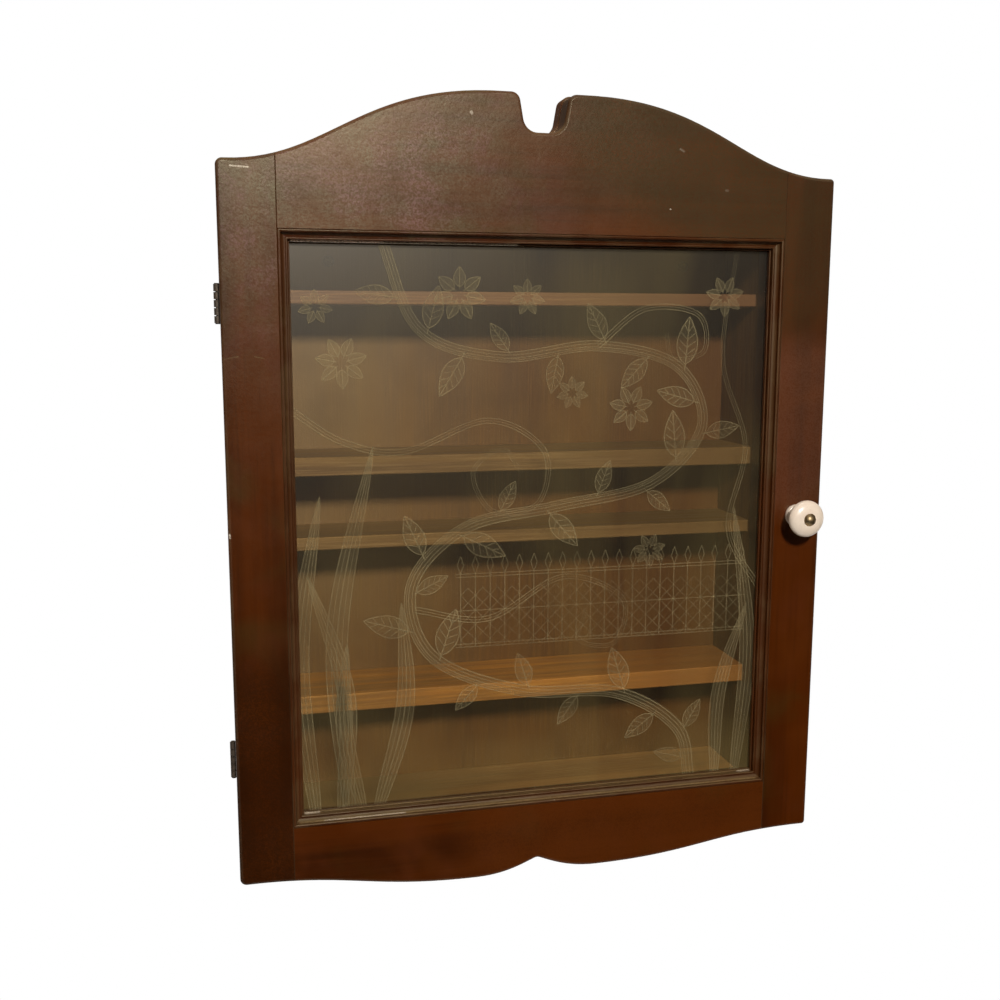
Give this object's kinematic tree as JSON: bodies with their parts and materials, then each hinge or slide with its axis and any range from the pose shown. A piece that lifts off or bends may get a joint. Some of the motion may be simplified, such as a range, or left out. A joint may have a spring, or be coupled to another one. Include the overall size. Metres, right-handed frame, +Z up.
{
  "type": "wall display cabinet",
  "caption": "Shallow wall cabinet with an arched, notched crest, a scalloped foot, inner shelves and a hinged glazed door with a turned knob.",
  "frame": {"origin": "on the wall, midway between the two wall screw holes, on the hanging rail's rear face", "axes": "+X to the right as seen from the front, +Y into the wall, +Z up; the door faces -Y"},
  "size_m": [0.4731, 0.1418, 0.6027],
  "materials": {
    "stained_wood": "satin",
    "case_wood": "satin",
    "raw_wood": "raw",
    "back_board": "matt",
    "glass": "clear",
    "porcelain": "gloss",
    "brass": "aged",
    "bronzed_steel": "bronzed",
    "steel": "plain"
  },
  "bodies": {
    "case": {"face_frame_stile_left": "stained_wood", "face_frame_stile_right": "stained_wood", "face_frame_crest_rail": "stained_wood", "face_frame_bottom_rail": "stained_wood", "case_side_left": "case_wood", "case_side_right": "case_wood", "case_top": "case_wood", "case_bottom": "case_wood", "shelf_1": "raw_wood", "shelf_2": "raw_wood", "shelf_3": "raw_wood", "shelf_4": "raw_wood", "hanging_rail": "raw_wood", "face_frame_dowels": "raw_wood", "hinge_upper_case_leaf": "bronzed_steel", "hinge_upper_pin": "bronzed_steel", "hinge_lower_case_leaf": "bronzed_steel", "hinge_lower_pin": "bronzed_steel", "hinge_case_screws": "bronzed_steel", "case_nails": "steel", "rail_screws": "steel", "face_frame_pins": "steel", "catch_magnet": "steel", "back_panel": "back_board"},
    "door": {"door_stile_hinge": "stained_wood", "door_stile_lock": "stained_wood", "door_crest_rail": "stained_wood", "door_bottom_rail": "stained_wood", "glass_moulding_top": "stained_wood", "glass_moulding_bottom": "stained_wood", "glass_moulding_left": "stained_wood", "glass_moulding_right": "stained_wood", "glass_bead_top": "stained_wood", "glass_bead_bottom": "stained_wood", "glass_bead_left": "stained_wood", "glass_bead_right": "stained_wood", "glass_pane": "glass", "glazing_pins": "steel", "knob": "porcelain", "knob_bolt": "brass", "knob_nut": "brass", "knob_washer": "brass", "hinge_upper_door_leaf": "bronzed_steel", "hinge_lower_door_leaf": "bronzed_steel", "hinge_door_screws": "bronzed_steel", "catch_plate": "steel", "catch_plate_screw": "steel"}
  },
  "joints": [
    {"name": "door_hinge", "type": "hinge", "parent": "case", "child": "door", "pos_m": [-0.2363, -0.0945, -0.205], "axis": [0, 0, -1], "range_deg": [0, 180]}
  ]
}
